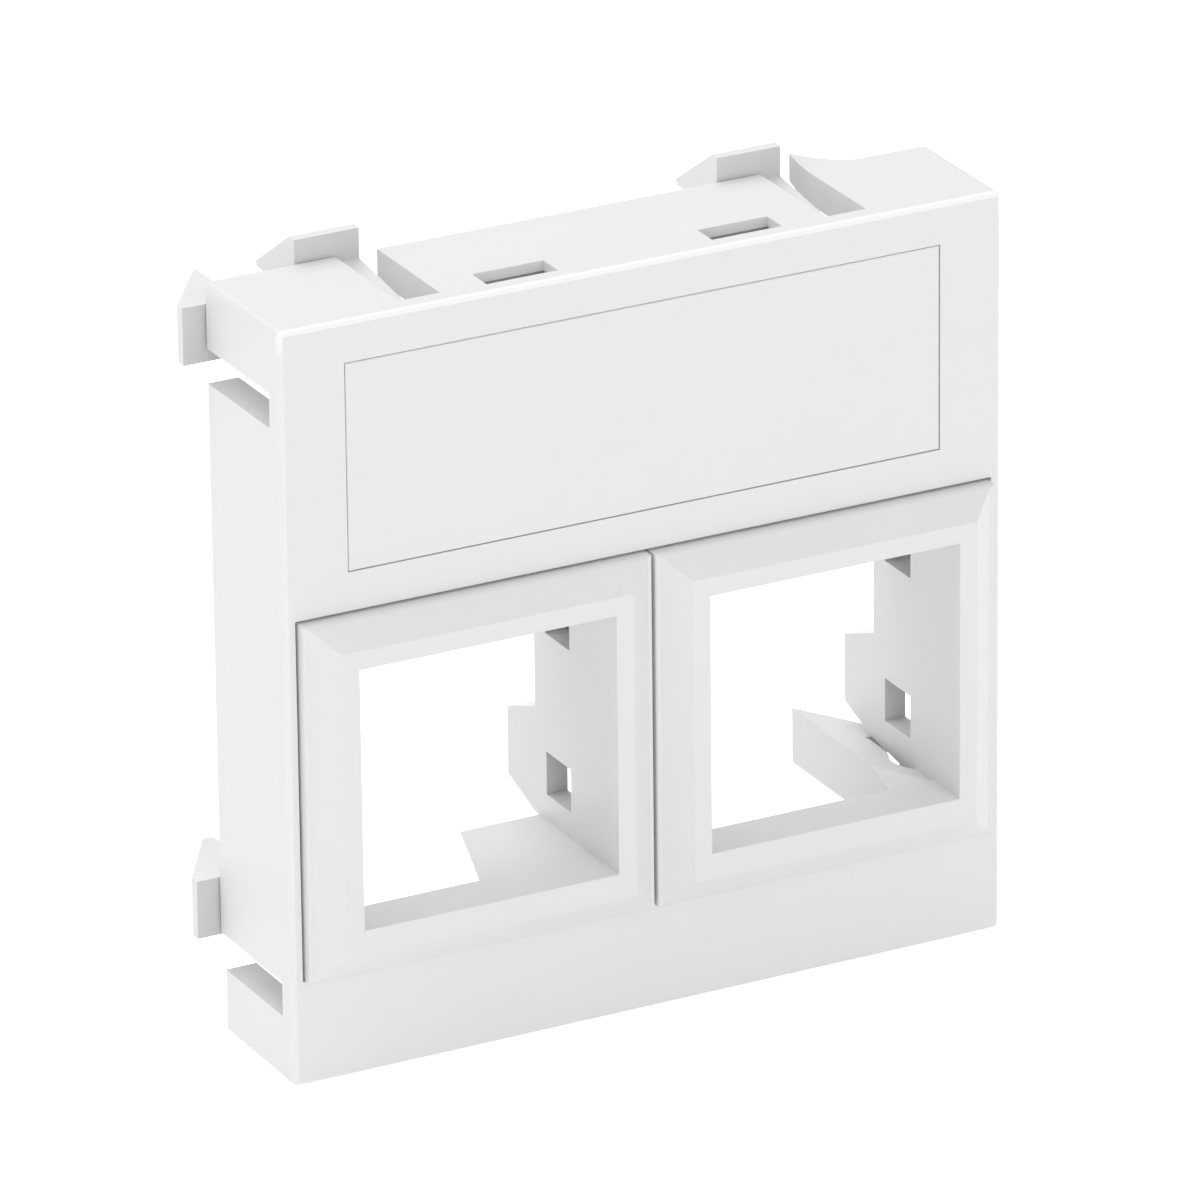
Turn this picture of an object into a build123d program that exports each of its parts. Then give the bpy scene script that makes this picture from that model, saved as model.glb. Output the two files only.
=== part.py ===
from build123d import *
import os

# Keystone insert plate: a square snap-in module that holds two jack frames
# side by side under a labelling field. Millimetres.
# Origin at the centre of the front face. The face lies in the plane Y = 0 and
# looks towards -Y, +Y is the depth into the wall, +X is right and +Z is up.

# Driving sizes of the carrier
module_size = 45.0
wall_depth = 9.0
wall_thickness = 1.9
face_thickness = 2.6
front_edge_round = 0.35

# How far a cutter runs past a face, and how deep a joined form is sunk into its root
cut_past = 1.0
sink = 0.2

# Labelling field
label_width = 37.0
label_height = 12.2
label_centre_z = 13.9
label_thickness = 1.2
label_gap = 0.06
label_edge_round = 0.08

# Snap tongues on the label plate and the windows that show them
tongue_centre_x = 7.0
tongue_width = 4.2
tongue_thickness = 0.8
tongue_root_height = 0.9
tongue_rise = 1.7
tongue_side_gap = 0.1
window_depth = 1.75

# Jack frames
side_rim = 0.65
frame_split = 0.2
frame_height = 21.4
frame_bottom_z = -16.1
opening_width = 15.9
opening_height = 15.65
opening_bottom_z = -13.0
bevel_width = 1.65
edge_stand_out = 0.7
ring_stand_out = 1.8
bezel_seat_depth = 1.3
bezel_gap_side = 0.15
bezel_gap_top = 0.16
bezel_gap_bottom = 0.06
bezel_edge_round = 0.18

# Rear walls of a jack frame
cheek_thickness = 1.34
cheek_depth = 8.3
cheek_tab_depth = 11.75
cheek_tab_top_z = -6.5
cheek_tab_slope = 1.3
cheek_tab_bottom_z = -11.95
cheek_foot = 0.65
cheek_knee_depth = 4.0
cheek_bend_depth = 8.6
cheek_bend_rise = 0.65
roof_thickness = 1.1
port_gap = 0.16
catch_window_width = 3.0
catch_window_height = 2.65
catch_window_depth = 6.95
catch_window_inset = 1.55

# Spring clips that hold a jack frame behind the carrier's face
clip_width = 4.0
clip_thickness = 0.6
clip_length = 0.7
clip_catch = 0.6
clip_gap = 0.1
port_bottom_z = -14.9

# Shelf under the left jack and guide leg under the right one
shelf_root_width = 7.15
shelf_tip_width = 5.0
shelf_depth = 7.95
shelf_thickness = 0.8
shelf_drop = 0.05
shelf_undercut = 0.7
leg_width = 2.85
leg_depth = 12.85
leg_top_z = -12.25
leg_bottom_z = -15.65
leg_lean = 0.3
leg_setback = 0.45
leg_ramp_end = 3.6

# Slot between the guide leg and the cheek: depth, and distance from the cheek's inner face
leg_slot_points = ((8.6, 0.45), (8.0, 0.3), (6.6, 0.35), (5.6, 0.5), (5.0, 0.8), (4.4, 0.95),
                   (3.85, 0.8), (3.5, 0.4), (3.4, 0.0))
leg_slot_end = 9.1

# Ribs behind the face, between the two jack bays
rib_thickness = 1.0
rib_depth = 8.0
rib_low_z = -3.2

# Notch in the wall beside the right jack, and the lower rear edge of the wall below it
notch_front_y = 4.9
notch_top_z = -8.6
notch_height = 4.2
low_wall_depth = 8.4

# Gaps in the walls that free the spring latches
top_gap_start = 12.0
top_gap_end = 14.55
side_gap_start = 16.55
side_gap_end = 18.6
gap_front_y = 1.3

# Spring latches: start and end along the wall, one pair for each kind of side
top_latches = ((-17.0, -13.0), (9.35, 13.4))
side_latches = ((-16.7, -13.2), (17.76, 21.16))
latch_stand_out = 1.43
latch_land = 0.58
latch_land_rise = 0.05
latch_gap = 0.15

# Rear ends of the latches: depth, and how far below the wall's outer face
hook_tip = ((14.15, 1.5), (13.75, 1.77), (13.0, 1.75))
blunt_tip = ((14.4, 1.5), (14.4, 2.2), (13.0, 2.3))
flush_tip = ((14.5, 1.95), (10.6, 1.95))
top_tips = (hook_tip, hook_tip)
side_tips = (blunt_tip, flush_tip)

# Leaf springs that carry the latches. The side ones end short of the jack frame's cheek.
side_arms = ((-16.7, -13.8), (17.76, 21.16))
arm_thickness = 0.9
arm_root_depth = 2.15
arm_gap = 0.25
arm_top_inset = 0.33
arm_top_slope = 1.1

# Ear on the corner block that has no latch: depths at distances from the slit
ear_points = ((0.0, 10.25), (0.95, 9.6), (2.4, 8.74), (4.6, 8.5))
ear_root_y = 6.5
ear_curl_start = 7.5
ear_curl_rise = 0.45
ear_curl_slope = 0.35
ear_tip_thickness = 1.65

# Sizes that follow
half = module_size / 2
inner = half - wall_thickness
frame_width = half - side_rim - bezel_gap_side - frame_split / 2
frame_pitch = frame_width + frame_split
label_top_z = label_centre_z + label_height / 2
label_bottom_z = label_centre_z - label_height / 2
frame_top_z = frame_bottom_z + frame_height
opening_top_z = opening_bottom_z + opening_height
cheek_outer = opening_width / 2 + cheek_thickness
port_top_z = opening_top_z + roof_thickness + port_gap
pair_half_width = (frame_pitch + frame_width) / 2


def block(x_span, y_span, z_span):
    """A box between the given limits along each axis."""
    sizes = [span[1] - span[0] for span in (x_span, y_span, z_span)]
    middles = [(span[0] + span[1]) / 2 for span in (x_span, y_span, z_span)]
    return Pos(*middles) * Box(*sizes)


def prism_along_x(points, x_span):
    """A closed outline of (y, z) points, drawn out along X."""
    outline = make_face(Polyline(*points, close=True))
    placed = Plane.YZ.offset(x_span[0]) * outline
    return extrude(placed, amount=x_span[1] - x_span[0])


def turned(shape, angle):
    """A shape made for the top side, turned about the depth axis."""
    return Rot(0, angle, 0) * shape


def shell():
    """The square tray with its front edges rounded and its inside hollow."""
    tray = block((-half, half), (0, wall_depth), (-half, half))
    front_edges = tray.faces().sort_by(Axis.Y)[0].edges()
    corner_edges = tray.edges().filter_by(Axis.Y)
    tray = fillet(front_edges + corner_edges, front_edge_round)
    return tray - block((-inner, inner), (face_thickness, wall_depth + cut_past), (-inner, inner))


def wall_gap(start, end):
    """Cutter for a slit in the top wall, open towards the back."""
    return block((start, end), (gap_front_y, wall_depth + cut_past), (inner, half + cut_past))


def wall_gaps():
    """Cutters for the slits in all four walls."""
    cutters = []
    for angle in (0, 180):
        cutters.append(turned(wall_gap(top_gap_start, top_gap_end), angle))
        cutters.append(turned(wall_gap(-top_gap_end, -top_gap_start), angle))
    for angle in (-90, 90):
        cutters.append(turned(wall_gap(side_gap_start, side_gap_end), angle))
        cutters.append(turned(wall_gap(-side_gap_end, -side_gap_start), angle))
    return cutters


def label_recess():
    """Cutters for the labelling field and its two tongue windows."""
    reach_x = label_width / 2 + label_gap
    z_span = (label_bottom_z - label_gap, label_top_z + label_gap)
    cutters = [block((-reach_x, reach_x), (-cut_past, label_thickness), z_span)]
    window_half = tongue_width / 2 + tongue_side_gap
    y_span = (label_thickness, label_thickness + window_depth)
    z_low = label_top_z - tongue_root_height - tongue_side_gap
    for side in (-1, 1):
        centre = side * tongue_centre_x
        x_span = (centre - window_half, centre + window_half)
        cutters.append(block(x_span, y_span, (z_low, half + cut_past)))
    return cutters


def frame_seat():
    """Cutters for the recess that takes both bezels and the ports behind it."""
    reach_x = pair_half_width + bezel_gap_side
    z_span = (frame_bottom_z - bezel_gap_bottom, frame_top_z + bezel_gap_top)
    cutters = [block((-reach_x, reach_x), (-cut_past, bezel_seat_depth), z_span)]
    port_half = cheek_outer + port_gap
    for side in (-1, 1):
        centre = side * frame_pitch / 2
        x_span = (centre - port_half, centre + port_half)
        cutters.append(block(x_span, (0, wall_depth + cut_past), (port_bottom_z, port_top_z)))
    return cutters


def bay_ribs():
    """Two ribs on the back of the face, one beside each jack port."""
    divider_half = frame_pitch / 2 - cheek_outer - port_gap
    z_span = (rib_low_z, port_top_z)
    y_span = (face_thickness - sink, rib_depth)
    right = block((divider_half - rib_thickness, divider_half), y_span, z_span)
    left = block((-divider_half, rib_thickness - divider_half), y_span, z_span)
    return [right, left]


def side_notch():
    """Cutters for the right wall: a notch behind the lower catch window and a lower edge."""
    x_span = (inner - cut_past, half + cut_past)
    notch_low_z = notch_top_z - notch_height
    notch = block(x_span, (notch_front_y, wall_depth + cut_past), (notch_low_z, notch_top_z))
    edge = block(x_span, (low_wall_depth, wall_depth + cut_past), (-side_gap_start, notch_low_z))
    return [notch, edge]


def latch_head(start, end, tip):
    """Wedge of a top latch: its shoulder grips the frame that holds the module."""
    shoulder_y = wall_depth + latch_gap
    arm_low = inner - arm_gap - arm_thickness
    crest = half + latch_stand_out
    front = [(shoulder_y, arm_low), (shoulder_y, crest - latch_land_rise), (shoulder_y + latch_land, crest)]
    rear = [(depth, half - inset) for depth, inset in tip]
    return prism_along_x(front + rear + [(shoulder_y + arm_thickness, arm_low)], (start, end))


def latch_arm(start, end, limit):
    """Leaf spring of a top latch, under the wall, from the face to the wedge."""
    top = inner - arm_gap
    x_span = (max(start, -limit), min(end, limit))
    y_span = (arm_root_depth, wall_depth + latch_gap + arm_thickness)
    return block(x_span, y_span, (top - arm_thickness, top))


def latch_rib(start, end, gap_start, gap_end):
    """Rib of a latch that stands in the slit beside the wall, or None."""
    low = max(start, gap_start + latch_gap)
    high = min(end, gap_end - latch_gap)
    if high - low < latch_gap:
        return None
    rear = wall_depth + latch_gap + latch_land
    top = half - arm_top_inset
    points = [
        (gap_front_y, top - arm_top_slope),
        (rear, top),
        (rear, inner - arm_gap - arm_thickness / 2),
        (gap_front_y, inner - arm_gap - arm_thickness / 2),
    ]
    return prism_along_x(points, (low, high))


def side_of_latches(spans, arm_spans, tips, angle):
    """Heads and springs of all latches of one side, turned into place."""
    limit = inner - arm_gap
    pieces = []
    for (start, end), (arm_start, arm_end), tip in zip(spans, arm_spans, tips):
        pieces.append(latch_head(start, end, tip))
        pieces.append(latch_arm(arm_start, arm_end, limit))
    return [turned(piece, angle) for piece in pieces]


def ribs_of_side(spans, angle):
    """Ribs of the latches of the top or bottom side, one for each slit beside a latch."""
    pieces = []
    for start, end in spans:
        for low, high in ((top_gap_start, top_gap_end), (-top_gap_end, -top_gap_start)):
            rib = latch_rib(start, end, low, high)
            if rib is not None:
                pieces.append(turned(rib, angle))
    return pieces


def ear_sweep():
    """Rear edge of the corner block in plan: it runs from the ear's tip into a dip."""
    points = [(top_gap_end + along, depth) for along, depth in ear_points]
    return Spline(*points)


def ear(angle):
    """Corner block's ear: it reaches back beside the slit and curls outwards."""
    sweep_edge = ear_sweep()
    start = sweep_edge @ 0
    end = sweep_edge @ 1
    sides = Polyline((end.X, end.Y), (end.X, ear_root_y), (start.X, ear_root_y), (start.X, start.Y))
    plan = extrude(Pos(0, 0, inner - cut_past) * make_face(sweep_edge + sides),
                   amount=wall_thickness + 2 * cut_past)
    tip_y = ear_points[0][1] + sink
    tangents = ((1, 0), (1, ear_curl_slope))
    top = Spline((ear_curl_start, half), (tip_y, half + ear_curl_rise), tangents=tangents)
    low = Spline((ear_curl_start, inner), (tip_y, half + ear_curl_rise - ear_tip_thickness),
                 tangents=tangents)
    root = Polyline((ear_curl_start, inner), (ear_root_y, inner), (ear_root_y, half), (ear_curl_start, half))
    tip = Line((tip_y, half + ear_curl_rise), (tip_y, half + ear_curl_rise - ear_tip_thickness))
    section = Plane.YZ.offset(start.X - cut_past) * make_face(top + low + root + tip)
    curl = extrude(section, amount=end.X - start.X + 2 * cut_past)
    return turned(plan & curl, angle)


def ear_dip(angle):
    """Cutter that takes the corner block's rear edge back to the dip."""
    dip_depth = ear_points[-1][1]
    y_span = (dip_depth, wall_depth + cut_past)
    reach = half + cut_past
    return turned(block((top_gap_end, reach), y_span, (side_gap_end, reach)), angle)


def carrier_body():
    """The carrier: tray, label recess, jack ports, slits, latches and ears."""
    body = shell()
    for cutter in wall_gaps() + label_recess() + frame_seat() + side_notch():
        body -= cutter
    for rib in bay_ribs():
        body += rib
    for angle in (0, 180):
        body -= ear_dip(angle)
        body += ear(angle)
        heads_and_arms = side_of_latches(top_latches, top_latches, top_tips, angle)
        for piece in heads_and_arms + ribs_of_side(top_latches, angle):
            body += piece
    for angle in (-90, 90):
        for piece in side_of_latches(side_latches, side_arms, side_tips, angle):
            body += piece
    return body


def label_plate():
    """The plate that fills the labelling field, with two snap tongues."""
    plate = block((-label_width / 2, label_width / 2), (0, label_thickness), (label_bottom_z, label_top_z))
    plate = fillet(plate.faces().sort_by(Axis.Y)[0].edges(), label_edge_round)
    for side in (-1, 1):
        centre = side * tongue_centre_x
        x_span = (centre - tongue_width / 2, centre + tongue_width / 2)
        y_span = (label_thickness - sink, label_thickness + tongue_thickness)
        root = block(x_span, y_span, (label_top_z - tongue_root_height, label_top_z))
        y_span = (label_thickness, label_thickness + tongue_thickness)
        tongue = block(x_span, y_span, (label_top_z - tongue_root_height, label_top_z + tongue_rise))
        plate += root + tongue
    return plate


def front_rectangle(width, height, y):
    """A rectangle centred on a frame's outline, in a plane parallel to the face."""
    middle_z = (frame_bottom_z + frame_top_z) / 2
    return Plane(origin=(0, y, middle_z), z_dir=(0, -1, 0)) * Rectangle(width, height)


def bezel():
    """Front of a jack frame: a picture frame that bevels up to a flat ring."""
    z_span = (frame_bottom_z, frame_top_z)
    frame = block((-frame_width / 2, frame_width / 2), (-edge_stand_out, bezel_seat_depth), z_span)
    frame = fillet(frame.faces().sort_by(Axis.Y)[0].edges(), bezel_edge_round)
    foot = front_rectangle(frame_width - 2 * bezel_edge_round, frame_height - 2 * bezel_edge_round,
                           -edge_stand_out)
    ring = front_rectangle(frame_width - 2 * bevel_width, frame_height - 2 * bevel_width,
                           -ring_stand_out)
    return frame + loft([foot, ring])


def cheek(side):
    """Side wall of the jack bay, with a rear tab and two catch windows."""
    tab_rear_z = cheek_tab_top_z - cheek_tab_slope
    foot_z = opening_bottom_z - cheek_foot
    outline = [
        (0, foot_z),
        (0, port_top_z - port_gap),
        (cheek_depth, port_top_z - port_gap),
        (cheek_depth, cheek_tab_top_z),
        (cheek_tab_depth, tab_rear_z),
        (cheek_tab_depth, cheek_tab_bottom_z),
        (cheek_bend_depth, foot_z + cheek_bend_rise),
        (cheek_knee_depth, foot_z),
    ]
    inside = opening_width / 2
    x_span = sorted((side * inside, side * cheek_outer))
    wall = prism_along_x(outline, x_span)
    y_span = (catch_window_depth - catch_window_width, catch_window_depth)
    low_z = opening_bottom_z + catch_window_inset
    high_z = opening_top_z - catch_window_inset
    wide_x = sorted((side * (inside - cut_past), side * (cheek_outer + cut_past)))
    wall -= block(wide_x, y_span, (low_z, low_z + catch_window_height))
    wall -= block(wide_x, y_span, (high_z - catch_window_height, high_z))
    return wall


def clip(upward):
    """Spring clip with a catch, above the roof or below the floor of the bay."""
    root_y = bezel_seat_depth - sink
    catch_y = face_thickness + clip_gap
    tip_y = catch_y + clip_length
    if upward:
        edge = port_top_z - port_gap
        leg = (edge - clip_thickness, edge)
        catch = [(catch_y, edge), (catch_y, edge + clip_catch + port_gap), (tip_y, edge)]
    else:
        edge = port_bottom_z + port_gap
        leg = (edge, edge + clip_thickness)
        catch = [(catch_y, edge), (catch_y, edge - clip_catch - port_gap), (tip_y, edge)]
    x_span = (-clip_width / 2, clip_width / 2)
    return block(x_span, (root_y, tip_y), leg) + prism_along_x(catch, x_span)


def jack_frame():
    """What both jack frames share: bezel, cheeks, roof, clips and the opening."""
    frame = bezel()
    frame += cheek(-1) + cheek(1)
    roof_z = (opening_top_z, opening_top_z + roof_thickness)
    frame += block((-cheek_outer, cheek_outer), (0, cheek_depth), roof_z)
    frame += clip(True) + clip(False)
    x_span = (-opening_width / 2, opening_width / 2)
    y_span = (-ring_stand_out - cut_past, bezel_seat_depth)
    return frame - block(x_span, y_span, (opening_bottom_z, opening_top_z))


def shelf():
    """Shelf under the left jack, narrower towards its tip."""
    right = opening_width / 2 + sink
    root_y = bezel_seat_depth - sink
    tip_left = opening_width / 2 - shelf_tip_width
    root_left = opening_width / 2 - shelf_root_width
    outline = Polyline((root_left, root_y), (right, root_y), (right, shelf_depth),
                       (tip_left, shelf_depth), (root_left, bezel_seat_depth), close=True)
    low_z = opening_bottom_z - shelf_drop - shelf_thickness
    plate = Pos(0, 0, low_z) * extrude(make_face(outline), amount=shelf_thickness)
    slanted_edge = plate.faces().sort_by(Axis.Z)[0].edges().sort_by(Axis.X)[1]
    return chamfer(slanted_edge, shelf_undercut)


def leg_side_view():
    """Outline of the guide leg seen from the side, as (y, z): a ramp, a crest and a step."""
    root_y = bezel_seat_depth - sink
    step_y = face_thickness + clip_gap
    step_z = port_bottom_z + port_gap
    ramp = Spline((root_y, opening_bottom_z), (leg_ramp_end, leg_top_z), tangents=((1, 0), (1, 0)))
    rest = Polyline((leg_ramp_end, leg_top_z), (leg_depth, leg_top_z), (leg_depth, leg_bottom_z),
                    (step_y, leg_bottom_z), (step_y, step_z), (root_y, step_z), (root_y, opening_bottom_z))
    return make_face(ramp + rest)


def leg_rear_view():
    """Outline of the guide leg seen from behind, as (x, z): its top leans down to the right."""
    left = opening_width / 2 - leg_width
    fall = leg_lean * (cheek_outer - left)
    points = ((left, leg_top_z), (cheek_outer, leg_top_z - fall),
              (cheek_outer, leg_bottom_z), (left, leg_bottom_z))
    return make_face(Polyline(*[(x, 0, z) for x, z in points], close=True))


def leg_plan():
    """Outline of the guide leg seen from above: a slanted rear end and a curved slot."""
    inside = opening_width / 2
    left = inside - leg_width
    root_y = bezel_seat_depth - sink
    rear_right_y = leg_depth - leg_setback * (cheek_outer - left)
    slot = [(inside - gap, y) for y, gap in leg_slot_points]
    rim = Spline(*slot[1:])
    edges = Polyline(slot[-1], (inside, root_y), (left, root_y), (left, leg_depth),
                     (cheek_outer, rear_right_y), (cheek_outer, leg_slot_end), slot[0], slot[1])
    return make_face(rim + edges)


def guide_leg():
    """Leg under the right jack: it ramps up from the floor and is slotted beside the cheek."""
    left = opening_width / 2 - leg_width
    low = leg_bottom_z - cut_past
    leg = extrude(Plane.YZ.offset(left) * leg_side_view(), amount=cheek_outer - left)
    leg &= extrude(leg_rear_view(), amount=leg_depth + cut_past, dir=(0, 1, 0))
    return leg & extrude(Pos(0, 0, low) * leg_plan(), amount=leg_top_z - low + cut_past)


parts = {
    "carrier_body": carrier_body(),
    "label_plate": label_plate(),
    "jack_frame_left": Pos(-frame_pitch / 2, 0, 0) * (jack_frame() + shelf()),
    "jack_frame_right": Pos(frame_pitch / 2, 0, 0) * (jack_frame() + guide_leg()),
}

os.makedirs("parts", exist_ok=True)
for name, shape in parts.items():
    export_step(shape, f"parts/{name}.step")
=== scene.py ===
# %% [markdown]
# The object is a keystone insert plate: a white 45 mm snap-in module for two data jacks.
# It is made of four mouldings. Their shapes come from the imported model, which this script
# loads as a fixed frame. Blender adds the finish, the small marks that moulding leaves,
# the light and the camera.

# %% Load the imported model
import math

import bpy
from mathutils import Matrix, Vector


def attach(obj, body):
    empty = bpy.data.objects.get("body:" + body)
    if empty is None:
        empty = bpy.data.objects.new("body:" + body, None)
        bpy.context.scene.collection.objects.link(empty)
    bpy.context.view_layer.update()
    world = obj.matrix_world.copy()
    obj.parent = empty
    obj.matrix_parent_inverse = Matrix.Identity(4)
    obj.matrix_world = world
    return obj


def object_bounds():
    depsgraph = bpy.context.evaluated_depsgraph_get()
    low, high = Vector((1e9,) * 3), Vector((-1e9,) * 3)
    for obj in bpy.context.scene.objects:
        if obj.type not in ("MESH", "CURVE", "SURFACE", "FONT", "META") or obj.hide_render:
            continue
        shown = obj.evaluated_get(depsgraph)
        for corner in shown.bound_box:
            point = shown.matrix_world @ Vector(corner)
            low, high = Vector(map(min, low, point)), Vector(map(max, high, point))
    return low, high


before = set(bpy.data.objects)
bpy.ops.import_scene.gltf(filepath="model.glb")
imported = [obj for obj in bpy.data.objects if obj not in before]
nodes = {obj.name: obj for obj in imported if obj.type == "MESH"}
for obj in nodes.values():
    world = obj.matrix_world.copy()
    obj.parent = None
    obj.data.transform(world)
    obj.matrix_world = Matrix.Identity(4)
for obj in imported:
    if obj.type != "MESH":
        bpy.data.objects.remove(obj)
cad_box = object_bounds()
MILLIMETRE = 0.001
print("nodes:", sorted(nodes), "box:", [list(corner) for corner in cad_box])

# %% [markdown]
# The camera repeats the view of the product picture. It was found by fitting the known
# 45 mm square front, and the latches and cheeks behind it, to the edges in the picture. A
# long lens from about 65 cm gives the nearly parallel edges. The angles are turned into an
# axis frame by hand, because a Track To constraint could not hold the slight roll.

# %% Camera values
VIEW_AZIMUTH = math.radians(-27.43)
VIEW_ELEVATION = math.radians(22.57)
VIEW_ROLL = math.radians(-0.63)
VIEW_DISTANCE = 0.653
PICTURE_SIZE = 1200
SENSOR_WIDTH = 36.0
PIXELS_PER_METRE = 17959.0
ORIGIN_PIXEL = (648.9, 639.3)
lens = PIXELS_PER_METRE * VIEW_DISTANCE / PICTURE_SIZE * SENSOR_WIDTH
print("lens:", round(lens, 1), "mm")


# %% Camera axes
def view_axes(azimuth, elevation, roll):
    """Right, up and backward directions of a camera that looks at the origin."""
    back = Vector((math.sin(azimuth) * math.cos(elevation),
                   -math.cos(azimuth) * math.cos(elevation),
                   math.sin(elevation)))
    right = Vector((0, 0, 1)).cross(back).normalized()
    up = back.cross(right)
    rolled_right = math.cos(roll) * right + math.sin(roll) * up
    rolled_up = math.cos(roll) * up - math.sin(roll) * right
    return rolled_right, rolled_up, back


right, up, back = view_axes(VIEW_AZIMUTH, VIEW_ELEVATION, VIEW_ROLL)
print("looks along", [round(-value, 3) for value in back])

# %% Camera
offset_right = (ORIGIN_PIXEL[0] - PICTURE_SIZE / 2) / PIXELS_PER_METRE
offset_up = (PICTURE_SIZE / 2 - ORIGIN_PIXEL[1]) / PIXELS_PER_METRE
place = VIEW_DISTANCE * back - offset_right * right - offset_up * up
camera_data = bpy.data.cameras.new("picture_camera")
camera_data.sensor_width = SENSOR_WIDTH
camera_data.lens = lens
camera_data.clip_start = 0.01
camera_data.clip_end = 20.0
camera = bpy.data.objects.new("picture_camera", camera_data)
turn = Matrix((right, up, back)).transposed().to_4x4()
camera.matrix_world = Matrix.Translation(place) @ turn
bpy.context.scene.collection.objects.link(camera)
bpy.context.scene.camera = camera
print("camera distance:", round(place.length, 3), "m")

# %% [markdown]
# The mouldings are white plastic with a fine satin skin. One Principled shader makes it, and
# five small groups of nodes feed that shader. They all read Object coordinates, so a pattern
# keeps its size in metres and stays put on the part. The helpers below make one group each.
#
# The first group is the sheen. A real moulding is never one even tone, because the melt
# cools at different speeds. A slow noise, with lumps of about 9 mm, changes the roughness
# and the colour by a very little. A painted image could do this too, but noise has no seams.
# Four small helpers come first, because later groups scale colours and read places as well.


# %% Sheen of the plastic
PATCH_SIZE = 9 * MILLIMETRE
ROUGHNESS_SPREAD = 0.04
TINT_SPREAD = 0.008


def noise_node(tree, coordinates, size, detail):
    """A noise texture whose lumps are about the given size in metres."""
    noise = tree.nodes.new("ShaderNodeTexNoise")
    noise.inputs["Scale"].default_value = 1.0 / size
    noise.inputs["Detail"].default_value = detail
    tree.links.new(coordinates.outputs["Object"], noise.inputs["Vector"])
    return noise


def scaled_colour(tree, colour, value, at_zero, at_one):
    """Multiplies a colour by at_zero where a value is 0 and by at_one where it is 1."""
    share = tree.nodes.new("ShaderNodeMapRange")
    share.inputs["To Min"].default_value = at_zero
    share.inputs["To Max"].default_value = at_one
    tree.links.new(value, share.inputs["Value"])
    scaled = tree.nodes.new("ShaderNodeVectorMath")
    scaled.operation = "SCALE"
    tree.links.new(colour, scaled.inputs[0])
    tree.links.new(share.outputs["Result"], scaled.inputs["Scale"])
    return scaled.outputs["Vector"]


def object_place(tree, coordinates):
    """Node with the X, Y and Z of a point on the part, in metres."""
    place = tree.nodes.new("ShaderNodeSeparateXYZ")
    tree.links.new(coordinates.outputs["Object"], place.inputs["Vector"])
    return place


def product(tree, first, second):
    """Node that multiplies two sockets."""
    node = tree.nodes.new("ShaderNodeMath")
    node.operation = "MULTIPLY"
    tree.links.new(first, node.inputs[0])
    tree.links.new(second, node.inputs[1])
    return node.outputs["Value"]


def uneven_sheen(tree, coordinates, shader, colour, roughness):
    """Slow patches in the roughness; returns the socket of a tint with the same patches."""
    patches = noise_node(tree, coordinates, PATCH_SIZE, 2.0)
    sheen = tree.nodes.new("ShaderNodeMapRange")
    sheen.inputs["To Min"].default_value = roughness - ROUGHNESS_SPREAD
    sheen.inputs["To Max"].default_value = roughness + ROUGHNESS_SPREAD
    tree.links.new(patches.outputs["Fac"], sheen.inputs["Value"])
    tree.links.new(sheen.outputs["Result"], shader.inputs["Roughness"])
    tint = tree.nodes.new("ShaderNodeMix")
    tint.data_type = "RGBA"
    tint.inputs["A"].default_value = (*[value * (1 - TINT_SPREAD) for value in colour], 1)
    tint.inputs["B"].default_value = (*[value * (1 + TINT_SPREAD) for value in colour], 1)
    tree.links.new(patches.outputs["Fac"], tint.inputs["Factor"])
    return tint.outputs["Result"]


print("sheen: patches of", PATCH_SIZE, "m")

# %% [markdown]
# The second group paints shade into the hollows. Light that enters a narrow slit or a catch
# window bounces many times on the way out, and a darker colour there stands in for that shade.
# The
# Ambient Occlusion node measures how closed in a point is, and a Map Range turns that into
# a share of the colour. It looks only at the piece itself, so nothing outside adds to the
# painted shade.
# The latches stand close behind the plate, and the picture shows their fronts darker than
# even light makes them. A depth along Y and a normal towards the front pick those out for
# painted shade too.


# %% Painted shade in the hollows of the plastic
def painted_hollow_shade(tree, tint, reach, depth):
    """Painted shade: darkens a colour by up to depth where the piece closes in on itself
    within reach.
    """
    hollow = tree.nodes.new("ShaderNodeAmbientOcclusion")
    hollow.samples = 8
    hollow.only_local = True
    hollow.inputs["Distance"].default_value = reach
    return scaled_colour(tree, tint, hollow.outputs["AO"], 1 - depth, 1.0)


def painted_rear_shade(tree, coordinates, colour, depth):
    """Paints shade on the skin that faces forward but lies far behind the front."""
    place = object_place(tree, coordinates)
    facing = tree.nodes.new("ShaderNodeSeparateXYZ")
    tree.links.new(coordinates.outputs["Normal"], facing.inputs["Vector"])
    behind = tree.nodes.new("ShaderNodeMapRange")
    behind.inputs["From Min"].default_value = REAR_DEPTHS[0]
    behind.inputs["From Max"].default_value = REAR_DEPTHS[1]
    tree.links.new(place.outputs["Y"], behind.inputs["Value"])
    forward = tree.nodes.new("ShaderNodeMapRange")
    forward.inputs["From Max"].default_value = -1.0
    tree.links.new(facing.outputs["Y"], forward.inputs["Value"])
    both = product(tree, behind.outputs["Result"], forward.outputs["Result"])
    return scaled_colour(tree, colour, both, 1.0, 1 - depth)


# Where the latches stand behind the front, and how much painted shade darkens their fronts
REAR_DEPTHS = (5 * MILLIMETRE, 8 * MILLIMETRE)
REAR_PAINTED_SHADE = 0.17

# How far the painted shade in the hollows reaches, and how deep it is
CARRIER_HOLLOW_SHADE = (3 * MILLIMETRE, 0.08)
FRAME_HOLLOW_SHADE = (1 * MILLIMETRE, 0.1)
print("hollows: reach", CARRIER_HOLLOW_SHADE[0], "and", FRAME_HOLLOW_SHADE[0], "m")
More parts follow.
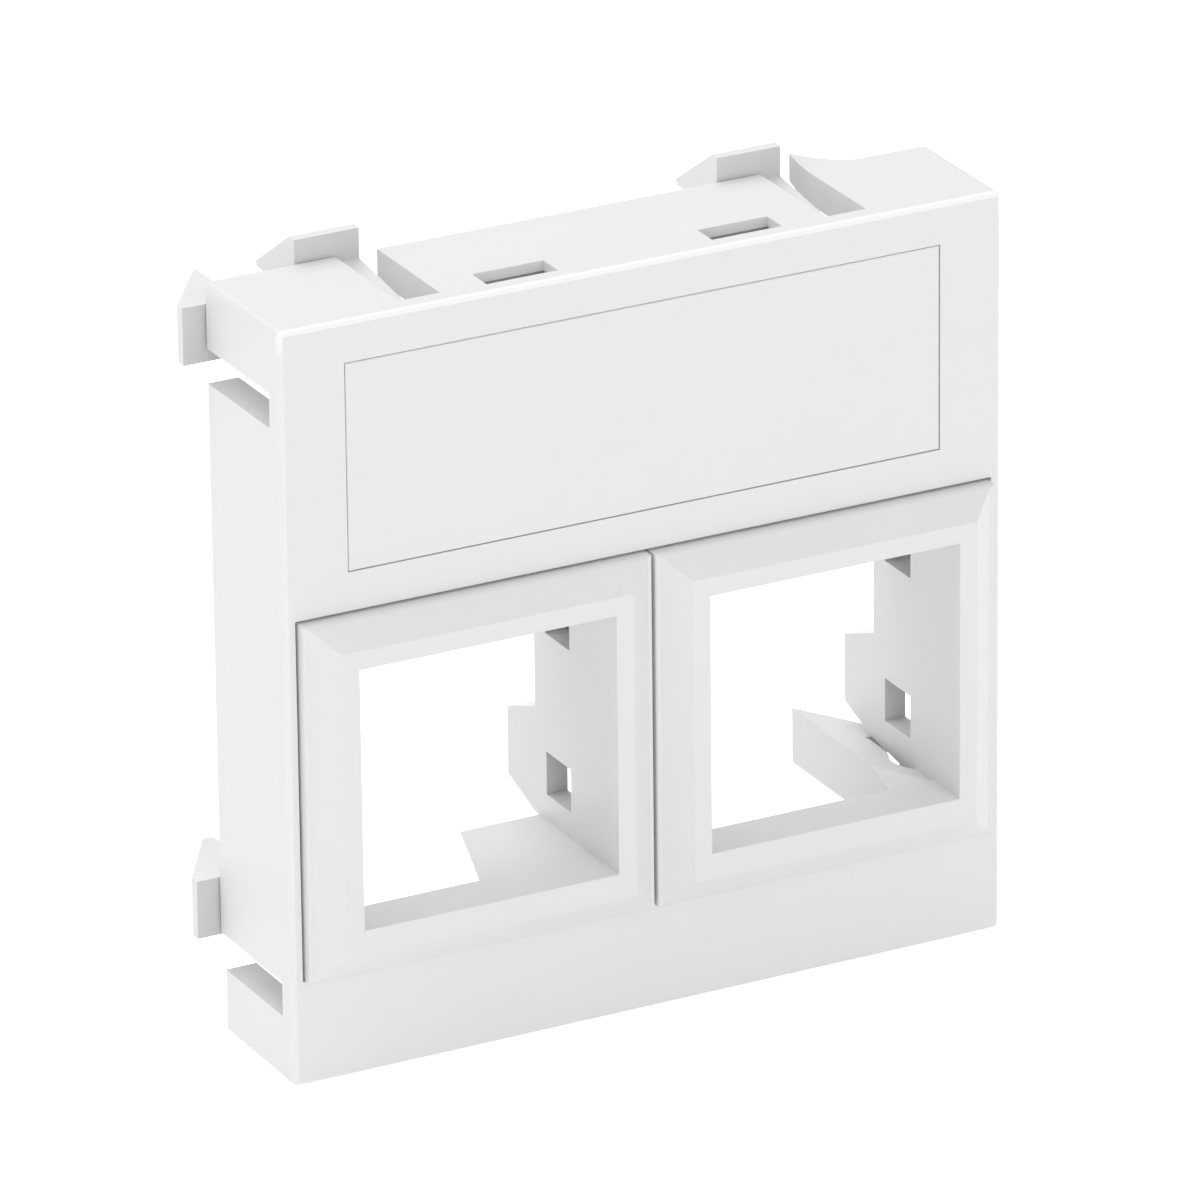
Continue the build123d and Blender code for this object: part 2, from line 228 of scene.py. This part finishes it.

# %% [markdown]
# The third group paints shade into the deepest holes, the catch windows in the cheeks and the
# tongue windows over the label. The picture shows their walls in a middle grey, a little
# darker than the light alone makes them, so a darker colour there stands in for that shade.
# They lie in mirrored pairs, so the distance of a point from the middle of a pair says whether
# it is in one. Three Compare nodes, one for each axis, pick out the walls inside the holes and
# nothing around them.


# %% Painted shade in the deep holes of the plastic
def within(tree, value, span):
    """Node that is 1 where a value lies inside a span, and 0 elsewhere."""
    node = tree.nodes.new("ShaderNodeMath")
    node.operation = "COMPARE"
    node.inputs[1].default_value = (span[0] + span[1]) / 2
    node.inputs[2].default_value = (span[1] - span[0]) / 2
    tree.links.new(value, node.inputs[0])
    return node.outputs["Value"]


def distance_from(tree, value, centre):
    """Node for the distance of a value from a centre, either way."""
    shift = tree.nodes.new("ShaderNodeMath")
    shift.operation = "SUBTRACT"
    shift.inputs[1].default_value = centre
    tree.links.new(value, shift.inputs[0])
    size = tree.nodes.new("ShaderNodeMath")
    size.operation = "ABSOLUTE"
    tree.links.new(shift.outputs["Value"], size.inputs[0])
    return size.outputs["Value"]


def painted_hole_shade(tree, coordinates, colour, centre_x, x_span, y_span, z_span, depth):
    """Paints shade on the walls of holes that lie in mirrored pairs round the lines x =
    +-centre_x.
    """
    place = object_place(tree, coordinates)
    across = distance_from(tree, distance_from(tree, place.outputs["X"], 0.0), centre_x)
    inside = within(tree, across, x_span)
    inside = product(tree, inside, within(tree, place.outputs["Y"], y_span))
    inside = product(tree, inside, within(tree, place.outputs["Z"], z_span))
    return scaled_colour(tree, colour, inside, 1.0, 1 - depth)


# Middle line, spans across, in depth and in height, and how much painted shade darkens them
TONGUE_WINDOW_SHADE = (7.0 * MILLIMETRE, (0.0, 2.25 * MILLIMETRE),
                  (1.21 * MILLIMETRE, 3.0 * MILLIMETRE),
                  (19.5 * MILLIMETRE, 21.9 * MILLIMETRE), 0.6)
CATCH_WINDOW_SHADE = (10.9 * MILLIMETRE, (7.97 * MILLIMETRE, 9.27 * MILLIMETRE),
                 (3.9 * MILLIMETRE, 7.0 * MILLIMETRE),
                 (-12.0 * MILLIMETRE, 2.0 * MILLIMETRE), 0.15)
print("deep holes: two tongue windows, eight catch windows")

# %% [markdown]
# The fourth group is a painted highlight on the front edge. The picture shows a bright line
# along the rounding round the carrier's face, and a paler colour mixed in there paints it. The
# rounding is the only part of the skin whose depth lies between 0 and 0.35 mm, so one Compare
# on the Y coordinate finds it. The line is brightest along the top edge and soft along the
# sides, so a Map Range on the height sets its strength. A painted mask would be more work for
# the same line.

# %% Painted highlight on the front edge
ROUNDING_DEPTHS = (0.01 * MILLIMETRE, 0.34 * MILLIMETRE)
# Colour of the painted highlight on the front rounding
HIGHLIGHT_COLOUR = (0.97, 0.97, 0.96, 1)
SIDE_LIFT = 0.35
TOP_LIFT_HEIGHTS = (21.0 * MILLIMETRE, 22.2 * MILLIMETRE)


def painted_edge_highlight(tree, coordinates, colour, lift):
    """Paints a highlight into the front rounding: mixes in a paler colour, by the share lift
    at the top edge.
    """
    place = object_place(tree, coordinates)
    rounding = within(tree, place.outputs["Y"], ROUNDING_DEPTHS)
    strength = tree.nodes.new("ShaderNodeMapRange")
    strength.inputs["From Min"].default_value = TOP_LIFT_HEIGHTS[0]
    strength.inputs["From Max"].default_value = TOP_LIFT_HEIGHTS[1]
    strength.inputs["To Min"].default_value = lift * SIDE_LIFT
    strength.inputs["To Max"].default_value = lift
    tree.links.new(place.outputs["Z"], strength.inputs["Value"])
    share = product(tree, rounding, strength.outputs["Result"])
    painted_highlight = tree.nodes.new("ShaderNodeMix")
    painted_highlight.data_type = "RGBA"
    painted_highlight.inputs["B"].default_value = HIGHLIGHT_COLOUR
    tree.links.new(share, painted_highlight.inputs["Factor"])
    tree.links.new(colour, painted_highlight.inputs["A"])
    return painted_highlight.outputs["Result"]


print("front rounding: depths", ROUNDING_DEPTHS, "m")

# %% [markdown]
# The last group is the grain. The mould's walls are spark-eroded, which leaves a skin of
# tiny bumps a fifth of a millimetre across. Modelled bumps would need millions of faces, so
# a fine noise goes through a Bump node instead, which only tilts the normals.


# %% Grain of the plastic
GRAIN_STRENGTH = 0.25
GRAIN_HEIGHT_SHARE = 0.04


def mould_grain(tree, coordinates, shader, size, height):
    """A fine bump like the sparked skin of a mould."""
    grain = noise_node(tree, coordinates, size, 3.0)
    bump = tree.nodes.new("ShaderNodeBump")
    bump.inputs["Strength"].default_value = GRAIN_STRENGTH
    bump.inputs["Distance"].default_value = height
    tree.links.new(grain.outputs["Fac"], bump.inputs["Height"])
    tree.links.new(bump.outputs["Normal"], shader.inputs["Normal"])


def moulded_plastic(name, colour, roughness, hollows, holes, edge_highlight, grain_size):
    """A satin white plastic with uneven sheen, painted shade in its hollows, rear fronts and
    deep holes, a painted highlight on the front edge, and a fine grain.
    """
    material = bpy.data.materials.new(name)
    material.use_nodes = True
    tree = material.node_tree
    shader = tree.nodes["Principled BSDF"]
    shader.inputs["IOR"].default_value = 1.49
    shader.inputs["Specular IOR Level"].default_value = 0.4
    coordinates = tree.nodes.new("ShaderNodeTexCoord")
    colour_out = uneven_sheen(tree, coordinates, shader, colour, roughness)
    # Painted shade in the hollows and on the rear fronts, then in the deep holes, then a
    # painted highlight on the front rounding
    colour_out = painted_hollow_shade(tree, colour_out, *hollows)
    colour_out = painted_rear_shade(tree, coordinates, colour_out, REAR_PAINTED_SHADE)
    if holes:
        colour_out = painted_hole_shade(tree, coordinates, colour_out, *holes)
    if edge_highlight > 0:
        colour_out = painted_edge_highlight(tree, coordinates, colour_out, edge_highlight)
    tree.links.new(colour_out, shader.inputs["Base Color"])
    mould_grain(tree, coordinates, shader, grain_size, grain_size * GRAIN_HEIGHT_SHARE)
    print("material:", name, "with", len(tree.nodes), "nodes")
    return material


# %% [markdown]
# The jack frames are a touch darker and glossier than the carrier and the label plate, as
# parts from another mould often are. Each node keeps its mesh and only gets a material in
# its slot.

# %% Finish the mouldings
CARRIER_COLOUR = (0.82, 0.82, 0.812)
FRAME_COLOUR = (0.81, 0.81, 0.805)
carrier_white = moulded_plastic("carrier_white", CARRIER_COLOUR, 0.46, CARRIER_HOLLOW_SHADE,
                                TONGUE_WINDOW_SHADE, 1.0, 0.25 * MILLIMETRE)
label_white = moulded_plastic("label_white", CARRIER_COLOUR, 0.42, CARRIER_HOLLOW_SHADE,
                              None, 0.0, 0.2 * MILLIMETRE)
frame_white = moulded_plastic("frame_white", FRAME_COLOUR, 0.40, FRAME_HOLLOW_SHADE,
                              CATCH_WINDOW_SHADE, 0.0, 0.2 * MILLIMETRE)
finishes = {
    "carrier_body": carrier_white,
    "label_plate": label_white,
    "jack_frame_left": frame_white,
    "jack_frame_right": frame_white,
}
for name, node in nodes.items():
    node.data.materials.clear()
    node.data.materials.append(finishes[name])
    print("finished:", name)

# %% [markdown]
# Round pins push a moulding out of its mould, and each leaves a faint disc on the hidden
# side. The carrier's discs are on the back of its face, behind the label and under the
# jacks. They are the same small shape again and again on an even grid, so Geometry Nodes
# make them: a grid of points, a flat cone on each point, and a random height from a fixed
# seed. Modelling one disc and copying it would work too, but then the spacing could not be
# changed with one number.

# %% Inputs of the pin marks
MARK_INPUTS = (
    ("Columns", "NodeSocketInt", 4),
    ("Rows", "NodeSocketInt", 2),
    ("Column Spacing", "NodeSocketFloat", 10 * MILLIMETRE),
    ("Row Spacing", "NodeSocketFloat", 8 * MILLIMETRE),
    ("Centre", "NodeSocketVector", (0.0, 0.0, 0.0)),
    ("Pin Radius", "NodeSocketFloat", 1.1 * MILLIMETRE),
    ("Mark Height", "NodeSocketFloat", 0.06 * MILLIMETRE),
)
MARK_SEED = 7
mark_tree = bpy.data.node_groups.new("pin_marks", "GeometryNodeTree")
mark_tree.interface.new_socket("Geometry", in_out="OUTPUT", socket_type="NodeSocketGeometry")
mark_sockets = {}
for label, kind, value in MARK_INPUTS:
    socket = mark_tree.interface.new_socket(label, in_out="INPUT", socket_type=kind)
    socket.default_value = value
    mark_sockets[label] = socket.identifier
print("pin mark inputs:", mark_sockets)


# %% Grid of the pin marks
def one_less(tree, count):
    """Node that takes one from a count, which gives the number of steps between points."""
    node = tree.nodes.new("ShaderNodeMath")
    node.operation = "SUBTRACT"
    node.inputs[1].default_value = 1.0
    tree.links.new(count, node.inputs[0])
    return node.outputs["Value"]


links = mark_tree.links
entry = mark_tree.nodes.new("NodeGroupInput")
grid = mark_tree.nodes.new("GeometryNodeMeshGrid")
links.new(entry.outputs["Columns"], grid.inputs["Vertices X"])
links.new(entry.outputs["Rows"], grid.inputs["Vertices Y"])
steps_x = one_less(mark_tree, entry.outputs["Columns"])
steps_z = one_less(mark_tree, entry.outputs["Rows"])
links.new(product(mark_tree, steps_x, entry.outputs["Column Spacing"]), grid.inputs["Size X"])
links.new(product(mark_tree, steps_z, entry.outputs["Row Spacing"]), grid.inputs["Size Y"])
stand = mark_tree.nodes.new("GeometryNodeTransform")
stand.inputs["Rotation"].default_value = (math.radians(90), 0, 0)
links.new(grid.outputs["Mesh"], stand.inputs["Geometry"])
links.new(entry.outputs["Centre"], stand.inputs["Translation"])
print("grid stands upright, columns along X and rows along Z")

# %% Discs of the pin marks
DISC_SIDES = 32
TOP_RADIUS_SHARE = 0.92
HEIGHT_SHARES = (0.7, 1.3)
disc = mark_tree.nodes.new("GeometryNodeMeshCone")
disc.inputs["Vertices"].default_value = DISC_SIDES
top_radius = mark_tree.nodes.new("ShaderNodeMath")
top_radius.operation = "MULTIPLY"
top_radius.inputs[1].default_value = TOP_RADIUS_SHARE
links.new(entry.outputs["Pin Radius"], top_radius.inputs[0])
links.new(entry.outputs["Pin Radius"], disc.inputs["Radius Bottom"])
links.new(top_radius.outputs["Value"], disc.inputs["Radius Top"])
links.new(entry.outputs["Mark Height"], disc.inputs["Depth"])
heights = mark_tree.nodes.new("FunctionNodeRandomValue")
heights.data_type = "FLOAT_VECTOR"
heights.inputs[0].default_value = (1.0, 1.0, HEIGHT_SHARES[0])
heights.inputs[1].default_value = (1.0, 1.0, HEIGHT_SHARES[1])
heights.inputs["Seed"].default_value = MARK_SEED
spread = mark_tree.nodes.new("GeometryNodeInstanceOnPoints")
spread.inputs["Rotation"].default_value = (math.radians(-90), 0, 0)
links.new(stand.outputs["Geometry"], spread.inputs["Points"])
links.new(disc.outputs["Mesh"], spread.inputs["Instance"])
links.new(heights.outputs[0], spread.inputs["Scale"])
real = mark_tree.nodes.new("GeometryNodeRealizeInstances")
links.new(spread.outputs["Instances"], real.inputs["Geometry"])
paint = mark_tree.nodes.new("GeometryNodeSetMaterial")
paint.inputs["Material"].default_value = carrier_white
links.new(real.outputs["Geometry"], paint.inputs["Geometry"])
leave = mark_tree.nodes.new("NodeGroupOutput")
links.new(paint.outputs["Geometry"], leave.inputs["Geometry"])
print("pin mark tree:", len(mark_tree.nodes), "nodes, seed", MARK_SEED)

# %% [markdown]
# The tree is used twice, once for the field behind the label and once for the strip below
# the jacks. Each result is turned into a plain mesh at the origin, because the export drops
# live modifiers and instances. The marks start a hair inside the face, so no two surfaces
# lie in the same plane.

# %% Pin marks on the carrier
FACE_BACK_Y = 2.6 * MILLIMETRE
SUNK = 0.02 * MILLIMETRE


def pin_marks(name, columns, rows, centre_z):
    """A field of pin marks on the back of the carrier's face, as a plain mesh."""
    holder = bpy.data.objects.new(name + "_holder", bpy.data.meshes.new(name + "_empty"))
    bpy.context.scene.collection.objects.link(holder)
    modifier = holder.modifiers.new("pin_marks", "NODES")
    modifier.node_group = mark_tree
    modifier[mark_sockets["Columns"]] = columns
    modifier[mark_sockets["Rows"]] = rows
    modifier[mark_sockets["Centre"]] = (0.0, FACE_BACK_Y - SUNK, centre_z)
    evaluated = holder.evaluated_get(bpy.context.evaluated_depsgraph_get())
    mesh = bpy.data.meshes.new_from_object(evaluated)
    mesh.name = name
    holder.modifiers.remove(modifier)
    bpy.data.objects.remove(holder)
    piece = bpy.data.objects.new(name, mesh)
    bpy.context.scene.collection.objects.link(piece)
    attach(piece, "root")
    print("piece:", name, len(mesh.polygons), "faces")


pin_marks("pin_marks_behind_label", 4, 2, 12 * MILLIMETRE)
pin_marks("pin_marks_below_jacks", 4, 1, -18 * MILLIMETRE)

# %% [markdown]
# The picture has a pure white ground. The floor is a large pale plane just under the
# lowest latch. For camera, glossy and transmission rays it also glows, so that it reads
# white without more light. The lamps are not turned up for it, because that would burn out
# the white plastic.


# %% Floor finish
def glowing_white(name, glow, colour):
    """Diffuse white that glows for camera, glossy and transmission rays."""
    material = bpy.data.materials.new(name)
    material.use_nodes = True
    tree = material.node_tree
    tree.nodes.clear()
    output = tree.nodes.new("ShaderNodeOutputMaterial")
    diffuse = tree.nodes.new("ShaderNodeBsdfDiffuse")
    diffuse.inputs["Color"].default_value = colour
    emission = tree.nodes.new("ShaderNodeEmission")
    rays = tree.nodes.new("ShaderNodeLightPath")
    first = tree.nodes.new("ShaderNodeMath")
    first.operation = "MAXIMUM"
    second = tree.nodes.new("ShaderNodeMath")
    second.operation = "MAXIMUM"
    strength = tree.nodes.new("ShaderNodeMath")
    strength.operation = "MULTIPLY"
    strength.inputs[1].default_value = glow
    tree.links.new(rays.outputs["Is Camera Ray"], first.inputs[0])
    tree.links.new(rays.outputs["Is Glossy Ray"], first.inputs[1])
    tree.links.new(first.outputs[0], second.inputs[0])
    tree.links.new(rays.outputs["Is Transmission Ray"], second.inputs[1])
    tree.links.new(second.outputs[0], strength.inputs[0])
    tree.links.new(strength.outputs[0], emission.inputs["Strength"])
    both = tree.nodes.new("ShaderNodeAddShader")
    tree.links.new(diffuse.outputs[0], both.inputs[0])
    tree.links.new(emission.outputs[0], both.inputs[1])
    tree.links.new(both.outputs[0], output.inputs["Surface"])
    print("floor finish glows by", glow)
    return material


# %% Floor
FLOOR_SIZE = 6.0
FLOOR_GLOW = 0.8
FLOOR_COLOUR = (0.94, 0.94, 0.94, 1)
floor_mesh = bpy.data.meshes.new("floor")
reach = FLOOR_SIZE / 2
floor_z = cad_box[0][2]
corners = [(-reach, -reach, floor_z), (reach, -reach, floor_z),
           (reach, reach, floor_z), (-reach, reach, floor_z)]
floor_mesh.from_pydata(corners, [], [(0, 1, 2, 3)])
floor_mesh.materials.append(glowing_white("floor_white", FLOOR_GLOW, FLOOR_COLOUR))
floor = bpy.data.objects.new("floor", floor_mesh)
bpy.context.scene.collection.objects.link(floor)
print("floor at", round(floor_z, 5))

# %% [markdown]
# The picture is lit almost evenly, as in a light tent. The top reads lightest, then the left
# side, then the front, and narrow slits are grey. An even world gives the tent. Three large
# soft lamps, one above and behind, one above and to the left, and one in front, give the
# small differences. Each lamp was first rendered alone and their sum was fitted to the tones
# of the picture. After that the strengths were changed in small steps, from render to render.


# %% Lamps
def soft_lamp(name, place, size, power):
    """A square area lamp that points at the origin."""
    data = bpy.data.lights.new(name, "AREA")
    data.shape = "SQUARE"
    data.size = size
    data.energy = power
    lamp = bpy.data.objects.new(name, data)
    aim = (-Vector(place)).to_track_quat("-Z", "Y")
    lamp.matrix_world = Matrix.Translation(Vector(place)) @ aim.to_matrix().to_4x4()
    bpy.context.scene.collection.objects.link(lamp)
    print("lamp:", name, power, "W")


soft_lamp("top_lamp", (0.0, 0.55, 0.82), 0.8, 3.1)
soft_lamp("upper_left_lamp", (-0.6, 0.2, 0.75), 0.7, 2.0)
soft_lamp("front_lamp", (0.0, -0.95, 0.28), 0.7, 2.3)

# %% World
WORLD_STRENGTH = 0.645
world = bpy.data.worlds.new("light_tent")
world.use_nodes = True
background = world.node_tree.nodes["Background"]
background.inputs["Color"].default_value = (1, 1, 1, 1)
rays = world.node_tree.nodes.new("ShaderNodeLightPath")
seen = world.node_tree.nodes.new("ShaderNodeMapRange")
seen.inputs["To Min"].default_value = WORLD_STRENGTH
seen.inputs["To Max"].default_value = 1.0
world.node_tree.links.new(rays.outputs["Is Camera Ray"], seen.inputs["Value"])
world.node_tree.links.new(seen.outputs["Result"], background.inputs["Strength"])
bpy.context.scene.world = world
bpy.context.scene.view_settings.view_transform = "Standard"
print("world strength:", WORLD_STRENGTH)
